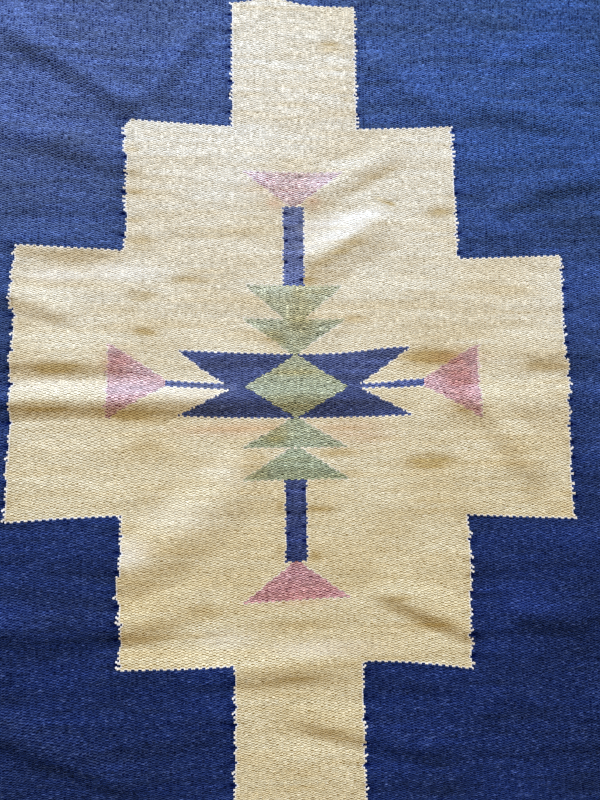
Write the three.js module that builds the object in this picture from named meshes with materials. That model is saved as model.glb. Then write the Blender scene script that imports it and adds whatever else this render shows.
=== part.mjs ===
// A cut length of a flat-woven wool kilim, lying open on a level surface with
// the soft creases that a rug keeps from being folded away.
// Millimetres, +Z up. The origin is on the surface, under the middle of the
// cloth. +Y runs along the warp and +X along the weft.

import * as THREE from 'three';

// Driving dimensions

const WARP_PITCH = 3.2; // about eight warp ends to the inch
const WARP_ENDS = 220;
const PICK_PAIR = 2.18; // two picks of weft packed down over the warp
const PICK_PAIRS = 404;
const CLOTH_THICKNESS = 3;

const CLOTH_WIDTH = WARP_ENDS * WARP_PITCH;
const CLOTH_LENGTH = PICK_PAIRS * PICK_PAIR;

const SIDE_DRAW = 2.5; // how far the selvedges draw in between the corners
const SIDE_WAVES = 3;
const END_DRAW = 8; // how far the last picks bow in at their middle
const FAN_REACH = 269; // from here to the corners they run straight

const FACETS_ACROSS = 36;
const FACETS_ALONG = 78;

const INDIGO = '#38487f';

// Creases and soft folds. Each is a low ridge from (x1, y1) to (x2, y2), left
// to right. bow is how far its middle bends to the north (+Y), height is its
// crest above the surface, north and south are the widths of its two flanks,
// and fade1 and fade2 are the share of its length over which each end dies out.

const FOLDS = [
  // the crease straight across the middle, with the lip above it at both sides
  { x1: -380, y1: -19, x2: 135, y2: -15, bow: 0, height: 5.4, north: 21, south: 20, fade1: 0.02, fade2: 0.25 },
  { x1: 95, y1: -20, x2: 380, y2: -22, bow: 0, height: 3.3, north: 26, south: 30, fade1: 0.2, fade2: 0.02 },
  { x1: -380, y1: 23, x2: -120, y2: 20, bow: 0, height: 4.2, north: 34, south: 21, fade1: 0.02, fade2: 0.4 },
  { x1: 165, y1: 30, x2: 380, y2: 32, bow: 0, height: 3.3, north: 30, south: 26, fade1: 0.4, fade2: 0.02 },
  // rays above the middle, running up to the right
  { x1: -2, y1: 110, x2: 112, y2: 180, bow: -2, height: 4.4, north: 28, south: 36, fade1: 0.2, fade2: 0.35 },
  { x1: -8, y1: 172, x2: 125, y2: 250, bow: 0, height: 2.6, north: 22, south: 20, fade1: 0.3, fade2: 0.3 },
  { x1: 160, y1: 172, x2: 245, y2: 132, bow: 0, height: 2.7, north: 20, south: 20, fade1: 0.3, fade2: 0.3 },
  // the left of the middle, above the crease
  { x1: -290, y1: 135, x2: -150, y2: 131, bow: 0, height: 2.6, north: 26, south: 20, fade1: 0.25, fade2: 0.3 },
  { x1: -310, y1: 90, x2: -195, y2: 58, bow: 3, height: 2.7, north: 20, south: 18, fade1: 0.2, fade2: 0.3 },
  // below the middle
  { x1: -182, y1: -192, x2: -14, y2: -38, bow: -13, height: 4.0, north: 34, south: 40, fade1: 0.12, fade2: 0.4 },
  { x1: 62, y1: -190, x2: 182, y2: -246, bow: 0, height: 4.2, north: 30, south: 17, fade1: 0.25, fade2: 0.2 },
  { x1: 158, y1: 2, x2: 246, y2: -112, bow: 5, height: 4.4, north: 28, south: 22, fade1: 0.25, fade2: 0.3 },
  { x1: 190, y1: -220, x2: 292, y2: -236, bow: 0, height: 5.6, north: 26, south: 20, fade1: 0.25, fade2: 0.3 },
  { x1: -330, y1: -214, x2: -72, y2: -204, bow: -20, height: 4.4, north: 30, south: 22, fade1: 0.15, fade2: 0.25 },
  { x1: -235, y1: -268, x2: 70, y2: -266, bow: 0, height: 3.0, north: 24, south: 22, fade1: 0.3, fade2: 0.25 },
  // the lower end
  { x1: -285, y1: -306, x2: -128, y2: -368, bow: -3, height: 4.4, north: 24, south: 18, fade1: 0.2, fade2: 0.25 },
  { x1: -20, y1: -302, x2: 156, y2: -350, bow: -3, height: 3.4, north: 28, south: 17, fade1: 0.2, fade2: 0.2 },
  // the upper end
  { x1: -300, y1: 366, x2: -150, y2: 270, bow: 0, height: 5.0, north: 28, south: 19, fade1: 0.15, fade2: 0.12 },
  { x1: -146, y1: 282, x2: -86, y2: 380, bow: 0, height: 3.8, north: 18, south: 18, fade1: 0.2, fade2: 0.25 },
  { x1: -350, y1: 266, x2: -175, y2: 220, bow: 3, height: 4.4, north: 24, south: 19, fade1: 0.1, fade2: 0.25 },
  { x1: 72, y1: 346, x2: 165, y2: 268, bow: -3, height: 3.8, north: 20, south: 22, fade1: 0.2, fade2: 0.25 },
  { x1: 145, y1: 304, x2: 300, y2: 270, bow: -4, height: 3.4, north: 20, south: 20, fade1: 0.2, fade2: 0.25 },
  { x1: 192, y1: 172, x2: 338, y2: 222, bow: 4, height: 4.0, north: 22, south: 20, fade1: 0.15, fade2: 0.2 },
  { x1: 205, y1: 333, x2: 290, y2: 366, bow: 0, height: 2.2, north: 18, south: 17, fade1: 0.25, fade2: 0.3 },
];

function foldHeight(fold, x, y) {
  const runX = fold.x2 - fold.x1;
  const runY = fold.y2 - fold.y1;
  const length = Math.hypot(runX, runY);
  const along = ((x - fold.x1) * runX + (y - fold.y1) * runY) / (length * length);
  const sideways = ((y - fold.y1) * runX - (x - fold.x1) * runY) / length;
  const offCrest = sideways - 4 * fold.bow * along * (1 - along);
  const flank = offCrest > 0 ? fold.north : fold.south;
  const across = 1 - THREE.MathUtils.smoothstep(Math.abs(offCrest), 0, flank);
  const risen = THREE.MathUtils.smoothstep(along, 0, fold.fade1);
  const fallen = THREE.MathUtils.smoothstep(1 - along, 0, fold.fade2);
  return fold.height * across * risen * fallen;
}

// Where two folds meet, the cloth bridges them a little above the higher one.

function lift(x, y) {
  const heights = FOLDS.map((fold) => foldHeight(fold, x, y));
  return Math.hypot(...heights);
}

// The outline: full width and length at the corners, drawn in between them.

function sideDraw(y) {
  return SIDE_DRAW * Math.sin((SIDE_WAVES * Math.PI * (y + CLOTH_LENGTH / 2)) / CLOTH_LENGTH) ** 2;
}

function endDraw(x) {
  return END_DRAW * (1 - Math.min(1, (x / FAN_REACH) ** 2));
}

function makeCloth() {
  const geometry = new THREE.BoxGeometry(
    CLOTH_WIDTH,
    CLOTH_LENGTH,
    CLOTH_THICKNESS,
    FACETS_ACROSS,
    FACETS_ALONG,
    1,
  );
  geometry.translate(0, 0, CLOTH_THICKNESS / 2);
  const points = geometry.getAttribute('position');
  for (let i = 0; i < points.count; i += 1) {
    const x = points.getX(i) * (1 - (2 * sideDraw(points.getY(i))) / CLOTH_WIDTH);
    const y = points.getY(i) * (1 - (2 * endDraw(points.getX(i))) / CLOTH_LENGTH);
    points.setXYZ(i, x, y, points.getZ(i) + lift(x, y));
  }
  geometry.computeVertexNormals();
  const wool = new THREE.MeshStandardMaterial({ color: INDIGO, roughness: 0.95, metalness: 0 });
  const cloth = new THREE.Mesh(geometry, wool);
  cloth.name = 'kilim_cloth';
  return cloth;
}

const kilim = new THREE.Group();
kilim.name = 'kilim';
kilim.add(makeCloth());

export default kilim;
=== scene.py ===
# A cut length of a flat-woven wool kilim with a stepped medallion, lying open in
# the soft creases that it keeps from being folded away. The weave is real relief:
# every bead of weft is charted, raised and coloured by itself.

import math

import bpy
import numpy as np
from mathutils import Euler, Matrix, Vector


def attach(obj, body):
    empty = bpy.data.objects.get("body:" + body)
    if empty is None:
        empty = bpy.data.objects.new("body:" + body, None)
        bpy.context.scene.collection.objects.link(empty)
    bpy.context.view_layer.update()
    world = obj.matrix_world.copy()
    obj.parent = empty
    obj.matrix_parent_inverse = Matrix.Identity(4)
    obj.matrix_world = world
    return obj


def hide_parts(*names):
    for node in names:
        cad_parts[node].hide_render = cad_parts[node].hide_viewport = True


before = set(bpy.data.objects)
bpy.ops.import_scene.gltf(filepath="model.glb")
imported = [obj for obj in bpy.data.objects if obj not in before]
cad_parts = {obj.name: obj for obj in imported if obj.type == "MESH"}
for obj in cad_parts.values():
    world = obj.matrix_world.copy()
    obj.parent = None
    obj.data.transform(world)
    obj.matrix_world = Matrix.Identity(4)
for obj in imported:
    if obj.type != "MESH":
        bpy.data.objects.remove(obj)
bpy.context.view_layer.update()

MM = 0.001
random = np.random.default_rng(47)

# The weave, in millimetres. One bead is one weft hump over one warp, two picks tall.

WARP_PITCH = 3.2
WARP_ENDS = 220
PICK = 1.09
BEAD_ROWS = 404
BEAD_TALL = 2 * PICK
CLOTH_THICKNESS = 3.0
CLOTH_WIDTH = WARP_ENDS * WARP_PITCH
CLOTH_LENGTH = BEAD_ROWS * BEAD_TALL
HALF_WIDTH = CLOTH_WIDTH / 2
HALF_LENGTH = CLOTH_LENGTH / 2

FACE_INSET = 0.3  # the mean face lies this far below the solid's
CROWN = 0.42  # top of a bead above the mean face
GAP = -0.85  # between two beads on one warp
VALLEY = -0.14  # between two warps, where the weft slants from one bead to the next
CROWN_UNEVEN = 0.10  # how much the handspun beads differ in height
GAP_UNEVEN = 0.04
BEAD_ASIDE = 0.16  # how far they sit off the even grid
OUTLINE_KEPT = 1.0  # within this of the outline they sit on it
SLIT_DEEP = 0.9
EDGE_CALM = 20.0  # within this of the outline the face has no waves of its own

# The outline, as in the solid: full size at the corners, drawn in between them.

SIDE_DRAW = 2.5
SIDE_WAVES = 3
END_DRAW = 8.0

# How the picks run off straight. They fan out towards the ends, and the fan settles
# into the end's own bow.

PICK_FAN = 0.060  # how far a pick bends outwards for each mm from the middle
FAN_REACH = 269.0  # the fan is full from here to the selvedge
FAN_FADE = 330.0  # from here to the ends it settles
MIDDLE_SMILE = 4.5  # the picks across the middle curve up by this at the wing tips
SMILE_REACH = 118.0
SMILE_TALL = 62.0
SMILE_MOST = 2.2  # and further out by no more than this many times it
WING_LIFT = 4.5  # round the upper tip of the east wing they lie this much higher
WING_LIFT_AT = (100.0, 32.0)
WING_LIFT_WIDE = 42.0
WING_LIFT_TALL = 22.0
SOUTH_SWAY = 3.5  # in the lower part they dip on the west of the middle and rise on the east
SWAY_LENGTH = 300.0
SWAY_FULL = 262.0  # fully so from this far below the middle
NORTH_ARCH = 8.0  # over the top of the medallion they arch up by this
ARCH_AT = -22.0
ARCH_REACH = 26.0
ARCH_RISE = (300.0, 385.0)  # the arch grows between these heights
ARCH_FALL = (405.0, 440.0)  # and dies out between these

# Creases and soft folds, as in the solid. Each is a low ridge from (x1, y1) to
# (x2, y2). bow bends its middle north, height is its crest, north and south are
# the widths of its flanks, fade1 and fade2 the share over which its ends die out.

FOLD_COLUMNS = ("x1", "y1", "x2", "y2", "bow", "height", "north", "south", "fade1", "fade2")
FOLDS = (
    # the crease straight across the middle, with the lip above it at both sides
    (-380, -19, 135, -15, 0, 5.4, 21, 20, 0.02, 0.25),
    (95, -20, 380, -22, 0, 3.3, 26, 30, 0.2, 0.02),
    (-380, 23, -120, 20, 0, 4.2, 34, 21, 0.02, 0.4),
    (165, 30, 380, 32, 0, 3.3, 30, 26, 0.4, 0.02),
    # rays above the middle, running up to the right
    (-2, 110, 112, 180, -2, 4.4, 28, 36, 0.2, 0.35),
    (-8, 172, 125, 250, 0, 2.6, 22, 20, 0.3, 0.3),
    (160, 172, 245, 132, 0, 2.7, 20, 20, 0.3, 0.3),
    # the left of the middle, above the crease
    (-290, 135, -150, 131, 0, 2.6, 26, 20, 0.25, 0.3),
    (-310, 90, -195, 58, 3, 2.7, 20, 18, 0.2, 0.3),
    # below the middle
    (-182, -192, -14, -38, -13, 4.0, 34, 40, 0.12, 0.4),
    (62, -190, 182, -246, 0, 4.2, 30, 17, 0.25, 0.2),
    (158, 2, 246, -112, 5, 4.4, 28, 22, 0.25, 0.3),
    (190, -220, 292, -236, 0, 5.6, 26, 20, 0.25, 0.3),
    (-330, -214, -72, -204, -20, 4.4, 30, 22, 0.15, 0.25),
    (-235, -268, 70, -266, 0, 3.0, 24, 22, 0.3, 0.25),
    # the lower end
    (-285, -306, -128, -368, -3, 4.4, 24, 18, 0.2, 0.25),
    (-20, -302, 156, -350, -3, 3.4, 28, 17, 0.2, 0.2),
    # the upper end
    (-300, 366, -150, 270, 0, 5.0, 28, 19, 0.15, 0.12),
    (-146, 282, -86, 380, 0, 3.8, 18, 18, 0.2, 0.25),
    (-350, 266, -175, 220, 3, 4.4, 24, 19, 0.1, 0.25),
    (72, 346, 165, 268, -3, 3.8, 20, 22, 0.2, 0.25),
    (145, 304, 300, 270, -4, 3.4, 20, 20, 0.2, 0.25),
    (192, 172, 338, 222, 4, 4.0, 22, 20, 0.15, 0.2),
    (205, 333, 290, 366, 0, 2.2, 18, 17, 0.25, 0.3),
)

# Shallow dents and swells in the face alone, in the same columns.

DENTS = (
    (-262, 64, -205, 50, 0, -0.4, 9, 9, 0.4, 0.4),
    (-135, 101, -85, 99, 0, -0.6, 8, 9, 0.4, 0.4),
    (-172, 85, -130, 83, 0, -0.6, 9, 8, 0.4, 0.4),
    (-165, 48, -125, 46, 0, -0.6, 9, 8, 0.4, 0.4),
    (80, 186, 116, 180, 0, -0.7, 8, 8, 0.4, 0.4),
    (134, 174, 164, 172, 0, -0.6, 9, 9, 0.4, 0.4),
    (26, 354, 52, 347, 0, -0.6, 8, 8, 0.4, 0.4),
    (108, -74, 160, -80, 0, -0.8, 10, 9, 0.4, 0.4),
    (-165, -60, -125, -64, 0, -0.5, 9, 9, 0.4, 0.4),
    (-155, -112, -125, -116, 0, -0.5, 9, 9, 0.4, 0.4),
    (-46, -278, 28, -282, 0, -0.4, 9, 10, 0.4, 0.4),
    (-150, -222, -66, -210, 0, -1.3, 24, 20, 0.3, 0.3),
    (120, -319, 156, -323, 0, -0.7, 9, 9, 0.4, 0.4),
    (98, 374, 128, 342, 4, -0.8, 9, 9, 0.3, 0.4),
    (128, 340, 214, 331, 0, -0.6, 9, 9, 0.4, 0.4),
    (122, -384, 162, -353, 0, 0.6, 7, 7, 0.4, 0.4),
    (105, -42, 168, -62, 0, 0.8, 22, 14, 0.4, 0.4),
    (-60, 60, -15, 34, 0, 0.5, 12, 10, 0.4, 0.4),
    (12, 34, 60, 66, 0, 0.6, 12, 10, 0.4, 0.4),
    (-112, 24, -2, 23, 0, 2.0, 24, 11, 0.3, 0.3),
    (-290, 360, -155, 274, 0, 1.2, 16, 15, 0.2, 0.2),
)

# Handspun yarn is uneven, so the face has a soft low waviness, longest along the weft.

SWELLS = (
    # height, length along the weft, length along the warp
    (0.30, 110.0, 46.0),
    (0.16, 52.0, 20.0),
)

# The chart, in warps (u) and bead rows (v) from the middle of the cloth.

STEPS = {
    # quadrant (east, north): half the medallion's width in warps, up to this row
    (-1, 1): ((84.6, 57.6), (52.1, 118.9), (19.6, 183)),
    (1, 1): ((84.6, 56.0), (51.2, 118.9), (19.8, 183)),
    (-1, -1): ((84.3, 56.8), (51.7, 118.9), (18.6, 188)),
    (1, -1): ((84.5, 58.3), (51.0, 121.6), (18.5, 188)),
}
JOIN_SHIFTS = (
    # side (east), from row, to row, how far the join stands out there in warps
    (-1, 103, 116, 0.7),
    (-1, 66, 76, -0.4),
    (-1, 30, 50, 0.7),
    (-1, -3, 10, 0.5),
    (-1, -39, -33, 0.5),
    (-1, -91, -82, 0.6),
    (-1, -109, -100, -0.5),
    (1, -8, 6, 0.8),
    (1, -56, -36, -0.4),
    (1, -91, -64, 0.5),
    (1, -109, -100, -0.5),
)
NO_MEDALLION = -9.0  # a width below zero, for the rows past the last step
TOOTH_LENGTHS = (0.0, 0.5, 1.0)  # how far every other bead reaches over an upright join
TOOTH_SHARES = (0.2, 0.6, 0.2)
JOIN_ROWS = BEAD_ROWS + 4
FIRST_SLIT = (2, 6)  # the first slit of a join is in one of these rows, the last one left out
SLIT_EVERY = (6, 11)  # and so many rows lie from one to the next
SLIT_TUCK = -0.5  # every other slit or so tucks the join in
MOTIF_WARP = -0.5
MOTIF_ROW = -2.8
STEM_HALF = 3.2
STEM_TEETH = 0.5  # the teeth along a stem are this much of the medallion's
STEM_SLIT_ROWS = ((46, 80), (-77, -44))
MOTIF_SPANS = (
    # wool, from row, to row, half width there in warps
    ("rose", 80.6, 97.2, 0.6, 15.6),
    ("stem", 44.0, 80.6, STEM_HALF, STEM_HALF),
    ("sage", 28.4, 44.0, 3.2, 15.4),
    ("sage", 12.2, 28.4, 0.6, 16.2),
    ("sage", -29.2, -16.0, 15.8, 0.6),
    ("sage", -43.2, -29.8, 16.2, 1.8),
    ("stem", -78.2, -43.2, STEM_HALF, STEM_HALF),
    ("rose", -94.0, -78.2, 15.4, 0.6),
)
DIAMOND_WARP = 0.0
DIAMOND_HALF = 15.8
DIAMOND_ROWS = (13.5, 15.1)  # below and above the motif's row
WING_ROWS = (13.7, 15.2)
WING_TIP = 35.9
WING_WAIST = 18.2
UPPER_WEST_BOW = 0.7  # under 1, the inner edge of the upper west wing bows out
STICKS = {
    # side (east): half the stick's height in rows at the waist, at the arrow head
    -1: (1.25, 1.25),
    1: (0.85, 1.6),
}
ARROW_POINT = 39.3
ARROW_BASE = 56.4
ARROW_ROWS = 15.8

# Slits in the upright joins, in millimetres

SLIT_ASIDE = 2.2  # slits lie this far on the dark side of a join
SLIT_WIDE = 2.3
SLIT_TALL = 1.2
SLIT_OPEN = (0.45, 1.0)  # some gape more than others
PULL_WIDE = 8.0  # round a slit the cloth is drawn in
PULL_TALL = 3.5
FIELD_PULL = 0.22  # by this much of the slit's depth
STEM_PULL = 0.06
NEAR_COLS = 12  # the part of the grid round a slit that it changes
NEAR_ROWS = 10

# Stains and rubbed tints on the cream: ochre in the first table, many of them on the shaded south side of a
# fold, where they are painted shade as much as stain, and a faded rose in the second. A power over 1 gives
# a stain a flatter middle and a quicker edge.

SPOT_EDGE = 1.3
OCHRE = (
    # x, y, reach along the weft, reach along the warp, strength
    (130, -79, 28, 8, 1.0),
    (133, 25, 30, 10, 1.0),
    (165, -26, 14, 8, 0.7),
    (248, 16, 24, 7, 0.6),
    (-228, 14, 26, 7, 0.7),
    (-240, -25, 24, 8, 0.8),
    (-152, -32, 36, 8, 0.85),
    (-145, 47, 14, 5, 1.0),
    (-150, 84, 16, 5, 0.9),
    (-105, 100, 20, 5, 0.6),
    (-152, 139, 14, 8, 0.8),
    (-158, 160, 10, 4, 0.7),
    (-158, 190, 12, 4, 0.7),
    (-160, 207, 12, 4, 0.6),
    (-161, 232, 9, 4, 0.6),
    (-146, -62, 18, 5, 0.35),
    (-140, -113, 16, 5, 0.3),
    (-42, -74, 14, 7, 0.5),
    (-40, -90, 14, 5, 0.7),
    (50, -89, 12, 6, 0.5),
    (40, -67, 22, 6, 0.7),
    (4, 62, 15, 28, 0.6),
    (-20, 42, 14, 9, 0.8),
    (20, 90, 18, 8, 0.4),
    (58, 62, 10, 4, 0.6),
    (4, 84, 9, 14, 0.5),
    (10, 100, 12, 7, 0.8),
    (0, 10, 26, 5, 0.5),
    (-20, -52, 12, 10, 0.65),
    (-44, -84, 18, 8, 0.7),
    (31, -95, 14, 4, 0.5),
    (148, 172, 14, 6, 1.0),
    (38, 349, 12, 6, 0.8),
    (55, 292, 8, 4, 0.5),
    (-92, 150, 50, 8, 0.4),
    (-205, 124, 34, 7, 0.3),
    (-235, 60, 24, 6, 0.15),
    (110, 112, 22, 8, 0.3),
    (-146, -187, 22, 7, 0.3),
    (-115, -172, 16, 6, 0.1),
    (-140, -236, 26, 6, 0.3),
    (-86, -216, 16, 8, 0.4),
    (88, -206, 18, 5, 0.6),
    (46, -190, 50, 13, 0.3),
    (128, -230, 26, 6, 0.6),
    (0, -226, 40, 6, 0.35),
    (22, -122, 16, 4, 0.7),
    (-17, -118, 5, 5, 0.6),
    (16, -166, 6, 5, 0.8),
    (-17, -160, 5, 4, 0.5),
    (-8, -277, 30, 8, 0.35),
    (38, -324, 26, 6, 0.6),
    (212, -80, 12, 14, 0.25),
    (226, -108, 10, 10, 0.25),
)
FADED_ROSE = (
    # x, y, reach along the weft, reach along the warp, strength
    (-60, -46, 50, 7, 0.4),
    (54, -50, 38, 13, 0.35),
    (-24, 196, 30, 14, 0.15),
    (-170, 17, 14, 12, 0.8),
    (160, 24, 30, 7, 0.35),
    (0, -205, 34, 8, 0.3),
    (-20, 180, 8, 8, 0.45),
    (18, 180, 8, 8, 0.45),
    (160, 4, 15, 22, 1.0),
)

# Washed pale places, most of them on the lit flank of a fold, where the pale is painted light as much as
# wear

WASHED_AND_PAINTED_LIGHT = (
    # x, y, reach along the weft, reach along the warp, strength
    (-158, -160, 22, 14, 0.35),
    (-66, -240, 24, 9, 0.25),
    (-95, -11, 46, 11, 0.3),
    (-235, -3, 60, 8, 0.2),
    (-232, 104, 30, 8, 0.3),
    (-170, 108, 40, 9, 0.25),
    (-160, -6, 30, 9, 0.3),
    (-62, -84, 30, 14, 0.15),
    (-110, -128, 40, 16, 0.15),
    (20, -250, 50, 8, 0.25),
)

# Painted shade tinted ochre on the shaded side of a crease, and painted light on its lit side, in the
# columns of the folds, where the height is the strength.

CREASE_SHADE_STREAKS = (
    (6, 106, 98, 164, 0, 0.6, 9, 12, 0.1, 0.4),
    (30, 178, 122, 230, 0, 0.35, 8, 10, 0.2, 0.3),
    (76, 189, 106, 178, 0, 0.9, 4, 5, 0.3, 0.3),
)
CREASE_LIGHT_STREAKS = (
    (0, 150, 106, 176, 0, 0.42, 13, 12, 0.05, 0.35),
    (0, 127, 90, 168, 0, 0.42, 16, 9, 0.05, 0.35),
)

# Stains, and the painted shade and light with them, run unevenly along the weft, in streaks.

STAIN_STREAKS = (
    # strength, length along the weft, length along the warp
    (0.55, 26.0, 3.2),
)

# Painted shade, tinted ochre like a stain, on the side of a fold that faces south and a little east, away
# from the window.

SHADED_SIDE_UPHILL = (-0.34, 0.94)  # the way up that side
FULL_SHADE_SLOPE = 0.34  # a fold this steep is fully shaded
FOLD_SHADE_TINT = 0.3  # which is this much of a full ochre stain

# Paler towards the top, most at the upper left: partly sun fading and partly the north window's sheen
# painted into the colour. It grows from a height to a height on the cloth, and is less by a share from one
# x to another.

SHEEN_FADE_FROM = -240.0
SHEEN_FADE_TO = 360.0
EAST_LESS = 0.2
EAST_FROM = -200.0
EAST_TO = 250.0
# a patch on the east side with more of the painted sheen and fading
SUNNED_AND_SHEENED = (
    # x, y, reach along the weft, reach along the warp, strength
    (312, 40, 90, 110, 0.16),
)

# This painted sheen is greyest in the upper left and clearest in the upper right.

CLEAR_FROM = 60.0
CLEAR_TO = 260.0
CLEAR_MIDDLE = 20.0
CLEAR_REACH = 230.0

# Tone of the yarn: long and short streaks within each row where the yarn changes,
# bands of a few rows, wide clouds, and single beads. In the noise of the streaks the
# rows of beads lie a whole hill apart, so each has streaks of its own.

ROW_APART = 7.0
YARN_STREAKS = (
    # strength, length along the weft, length along the warp
    (0.25, 60.0, ROW_APART),
    (0.25, 17.0, ROW_APART),
)
BANDS = (
    # in the same columns
    (0.45, 90.0, 9.0),
)
CLOUDS = (
    # in the same columns
    (0.45, 70.0, 45.0),
    (0.55, 44.0, 5.0),
)
CROWN_TONE = 0.65  # how much single beads differ on the crown, and beside it
BESIDE_TONE = 0.2
PILE = 0.92  # how full the yarn stands, where 1 shows none of the gap's painted shade
PILE_UNEVEN = 0.08
# the slits and the cloth drawn in round them are painted dark, as their shade, by taking this much of their
# depth from the pile
SLIT_SHADE = 1.8

# Where two wools meet, the painted shade on the dark wool and the painted highlight on the pale wool show
# fully round the medallion, and less along the motifs inside.

DARK_JOIN = 0.6
PALE_JOIN = 0.35

# The underside and the rounded edge

RIM_RINGS = 4
RIM_BULGE = 0.9
MAP_MARGIN = 0.01  # round each piece's flat bake map
RIM_MAP_STEP = 2.0  # from one ring to the next on the flat bake map
RIM_MAP_GAP = 0.5  # and from the underside's edge to the first
UNDER_PILE = 0.6
RIM_PILE = 0.4  # the least on the edge
RIM_PILE_ADDED = 0.3  # and this much of the face's own pile with it
UNDER_JOIN = 0.4

# Light and camera, in metres, watts and degrees. The camera looks almost straight
# down, as it was held for the photograph.

CAMERA_PLACE = (-0.0345, -0.0820, 0.5967)
CAMERA_TILT = (-6.14, 3.61, 0.25)
LENS = 27.9
SENSOR = 36.0
LIGHTS = (
    # name, place, width and height, power, colour, whether a shiny surface shows it
    ("north window", (-1.00, 3.70, 2.60), (2.4, 1.8), 490, "#c2d9ff", True),
    ("warm room", (0.1, -0.2, 2.2), (2.0, 2.0), 30, "#ffe8c0", False),
)
ROOM_COLOUR = "#eef0f4"
ROOM_STRENGTH = 0.13
FLOOR_SIZE = 8.0
FLOOR_Z = -0.0003


def linear(hex_colour):
    """An sRGB hex colour as the linear colour that a shader socket takes."""
    parts = [int(hex_colour[i:i + 2], 16) / 255 for i in (1, 3, 5)]
    return [c / 12.92 if c <= 0.04045 else ((c + 0.055) / 1.055) ** 2.4 for c in parts] + [1.0]


# The form of the cloth


def smooth(t):
    t = np.clip(t, 0.0, 1.0)
    return t * t * (3 - 2 * t)


def rise(value, low, high):
    """0 up to low, 1 from high on, and a smooth slope between them."""
    return smooth((value - low) / (high - low))


def bell(off, reach):
    """1 in the middle, about a third at the reach, and next to nothing at twice the reach."""
    return np.exp(-((off / reach) ** 2))


def ridge(fold, x, y):
    """The height of one ridge or dent of a table at the points x, y."""
    f = dict(zip(FOLD_COLUMNS, fold))
    run_x = f["x2"] - f["x1"]
    run_y = f["y2"] - f["y1"]
    length = math.hypot(run_x, run_y)
    along = ((x - f["x1"]) * run_x + (y - f["y1"]) * run_y) / length**2
    sideways = ((y - f["y1"]) * run_x - (x - f["x1"]) * run_y) / length
    off_crest = sideways - 4 * f["bow"] * along * (1 - along)
    flank = np.where(off_crest > 0, f["north"], f["south"])
    across = 1 - smooth(np.abs(off_crest) / flank)
    return f["height"] * across * smooth(along / f["fade1"]) * smooth((1 - along) / f["fade2"])


def lift(x, y):
    """How far the underside stands off the floor. Folds that meet bridge each other."""
    return np.sqrt(sum(ridge(fold, x, y) ** 2 for fold in FOLDS))


def value_noise(x, y, cell_x, cell_y):
    """Smooth random hills between -1 and 1, one cell for each cell_x by cell_y."""
    across = (x + CLOTH_WIDTH) / cell_x
    up = (y + CLOTH_LENGTH) / cell_y
    knots = random.uniform(-1, 1, (int(up.max()) + 2, int(across.max()) + 2))
    col = across.astype(int)
    row = up.astype(int)
    s = smooth(across - col)
    t = smooth(up - row)
    lower = knots[row, col] * (1 - s) + knots[row, col + 1] * s
    upper = knots[row + 1, col] * (1 - s) + knots[row + 1, col + 1] * s
    return lower * (1 - t) + upper * t


def hills(table, x, y):
    """The sum of one table's random hills."""
    return sum(height * value_noise(x, y, cell_x, cell_y) for height, cell_x, cell_y in table)


def on_floor(a, b):
    """Where the point a, b of the even weave lies: the picks fan out, the sides draw in."""
    fan_share = np.minimum(1.0, (a / FAN_REACH) ** 2)
    settle = rise(np.abs(b), FAN_FADE, HALF_LENGTH)
    fan = PICK_FAN * np.abs(b) * (1 - settle) + END_DRAW * settle
    bend = np.sign(b) * (fan * fan_share - END_DRAW * settle)
    smile = MIDDLE_SMILE * np.minimum(SMILE_MOST, (a / SMILE_REACH) ** 2) * bell(b, SMILE_TALL)
    tip_a, tip_b = WING_LIFT_AT
    smile = smile + WING_LIFT * bell(a - tip_a, WING_LIFT_WIDE) * bell(b - tip_b, WING_LIFT_TALL)
    sway_share = np.where(b < 0, np.minimum(1.0, (b / SWAY_FULL) ** 2), 0.0) * (1 - settle)
    sway = SOUTH_SWAY * np.sin(2 * math.pi * a / SWAY_LENGTH) * sway_share
    arch_share = rise(b, *ARCH_RISE) * (1 - rise(b, *ARCH_FALL))
    arch = NORTH_ARCH * bell(a - ARCH_AT, ARCH_REACH) * arch_share
    side = SIDE_DRAW * np.sin(SIDE_WAVES * math.pi * (b + HALF_LENGTH) / CLOTH_LENGTH) ** 2
    x = a * (1 - side / HALF_WIDTH)
    inside = 1 - (a / HALF_WIDTH) ** 4
    y = b + bend + smile * inside + sway + arch
    return x, y


# The chart of colours

WOOLS = ("indigo", "cream", "stem", "wing", "sage", "rose")
DARK_WOOLS = ("indigo", "stem", "wing")


def teeth():
    """How far one upright join stands out, in warps, at each bead row, and its slits."""
    tooth_length = random.choice(TOOTH_LENGTHS, JOIN_ROWS, p=TOOTH_SHARES)
    out = np.where(np.arange(JOIN_ROWS) % 2 == 0, tooth_length, 0.0)
    slits = np.zeros(JOIN_ROWS, bool)
    n = int(random.integers(*FIRST_SLIT))
    while n < JOIN_ROWS:
        slits[n] = True
        out[n] = SLIT_TUCK if random.random() < 0.5 else 0.0
        n += int(random.integers(*SLIT_EVERY))
    return out, slits


JOIN_NAMES = ("left", "right", "stem_left", "stem_right", "arrow_left", "arrow_right")
JOINS = {name: teeth() for name in JOIN_NAMES}


def tooth(name, v):
    row = np.floor(v + BEAD_ROWS / 2).astype(int)
    return JOINS[name][0][np.clip(row, 0, JOIN_ROWS - 1)]


def medallion(u, v):
    """Whether the bead at warp u and row v lies inside the stepped medallion."""
    rows = np.abs(v)
    half = np.zeros(u.shape)
    for (east, north), steps in STEPS.items():
        here = (u * east > 0) & ((v >= 0) == (north > 0))
        up_to_row = [rows < row for _, row in steps]
        widths = [width for width, _ in steps]
        half = np.where(here, np.select(up_to_row, widths, NO_MEDALLION), half)
    reach = np.where(u < 0, tooth("left", v), tooth("right", v))
    for east, low, high, warps in JOIN_SHIFTS:
        reach = reach + warps * ((u * east > 0) & (v >= low) & (v < high))
    return (half > 0) & (np.abs(u) < half + reach)


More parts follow.
